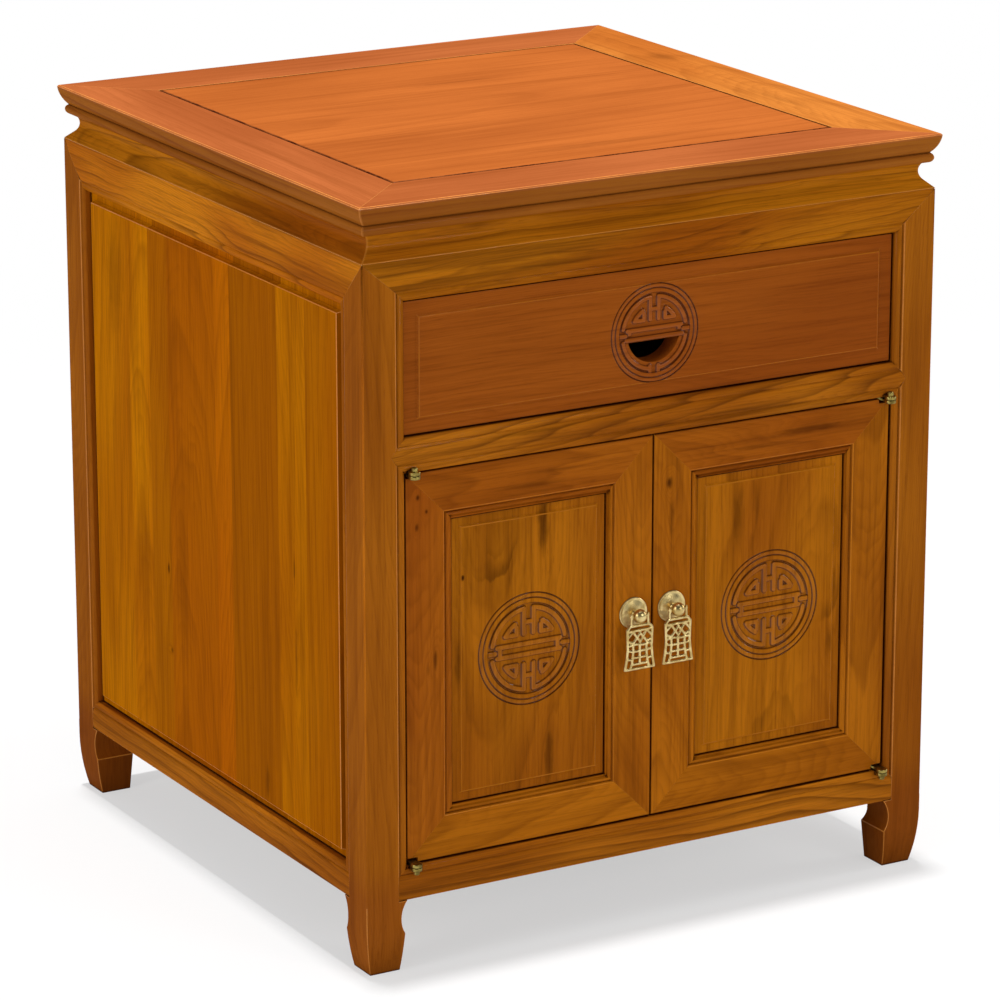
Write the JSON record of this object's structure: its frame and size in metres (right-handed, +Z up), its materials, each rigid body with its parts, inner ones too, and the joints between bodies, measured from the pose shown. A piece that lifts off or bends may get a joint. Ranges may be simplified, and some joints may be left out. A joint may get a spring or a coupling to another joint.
{
  "type": "storage cabinet",
  "caption": "Square hardwood side cabinet with a drawer over a pair of panelled doors, carved roundels, waisted crown moulding and brass pulls.",
  "frame": {"origin": "on the floor, under the middle of the cabinet's outline, door pulls included", "axes": "+Z up, -Y towards the front with the doors and the drawer, +X to the right of a person who faces it"},
  "size_m": [0.559, 0.5684, 0.654],
  "materials": {
    "frame_wood": "rosewood-type hardwood, clear satin lacquer",
    "panel_wood": "figured hardwood boards, clear satin lacquer",
    "inner_wood": "planed and oiled secondary wood",
    "brass": "aged brass, lightly brushed",
    "steel": "bright zinc plate",
    "magnet": "nickel plate"
  },
  "bodies": {
    "carcass": {"back_bottom_rail": "frame_wood", "back_left_post": "frame_wood", "back_panel": "panel_wood", "back_right_post": "frame_wood", "back_top_rail": "frame_wood", "bottom_panel": "inner_wood", "carcass_hinge_leaves": "brass", "catch_magnets": "magnet", "door_stop": "inner_wood", "drawer_kickers": "inner_wood", "drawer_runners": "inner_wood", "dust_panel": "inner_wood", "front_bottom_rail": "frame_wood", "front_left_post": "frame_wood", "front_mid_rail": "frame_wood", "front_right_post": "frame_wood", "front_top_rail": "frame_wood", "hinge_pins": "brass", "inner_back_rail": "inner_wood", "left_bottom_rail": "frame_wood", "left_side_panel": "panel_wood", "left_top_rail": "frame_wood", "right_bottom_rail": "frame_wood", "right_side_panel": "panel_wood", "right_top_rail": "frame_wood", "top_battens": "inner_wood", "top_frame_back": "frame_wood", "top_frame_front": "frame_wood", "top_frame_left": "frame_wood", "top_frame_right": "frame_wood", "top_panel": "panel_wood", "waist_back": "frame_wood", "waist_front": "frame_wood", "waist_left": "frame_wood", "waist_right": "frame_wood"},
    "drawer": {"drawer_back": "inner_wood", "drawer_bottom": "inner_wood", "drawer_front": "frame_wood", "drawer_left_side": "inner_wood", "drawer_right_side": "inner_wood"},
    "left_door": {"left_door_bottom_rail": "frame_wood", "left_door_hinge_leaves": "brass", "left_door_hinge_stile": "frame_wood", "left_door_meeting_stile": "frame_wood", "left_door_panel": "panel_wood", "left_door_strike": "steel", "left_door_top_rail": "frame_wood", "left_pull_rosette": "brass", "left_pull_knob": "brass"},
    "right_door": {"right_door_bottom_rail": "frame_wood", "right_door_hinge_leaves": "brass", "right_door_hinge_stile": "frame_wood", "right_door_meeting_stile": "frame_wood", "right_door_panel": "panel_wood", "right_door_strike": "steel", "right_door_top_rail": "frame_wood", "right_pull_rosette": "brass", "right_pull_knob": "brass"},
    "left_pull": {"left_pull_pendant": "brass"},
    "right_pull": {"right_pull_pendant": "brass"}
  },
  "joints": [
    {"name": "drawer_slide", "type": "slide", "parent": "carcass", "child": "drawer", "axis": [0, -1, 0], "range_m": [0, 0.32]},
    {"name": "left_door_hinge", "type": "hinge", "parent": "carcass", "child": "left_door", "pos_m": [-0.2315, -0.27575, 0.26075], "axis": [0, 0, -1], "range_deg": [0, 180]},
    {"name": "right_door_hinge", "type": "hinge", "parent": "carcass", "child": "right_door", "pos_m": [0.2315, -0.27575, 0.26075], "axis": [0, 0, 1], "range_deg": [0, 180]},
    {"name": "left_pull_swing", "type": "hinge", "parent": "left_door", "child": "left_pull", "pos_m": [-0.0188, -0.27825, 0.27625], "axis": [-1, 0, 0], "range_deg": [-10, 170]},
    {"name": "right_pull_swing", "type": "hinge", "parent": "right_door", "child": "right_pull", "pos_m": [0.0188, -0.27825, 0.27625], "axis": [-1, 0, 0], "range_deg": [-10, 170]}
  ]
}
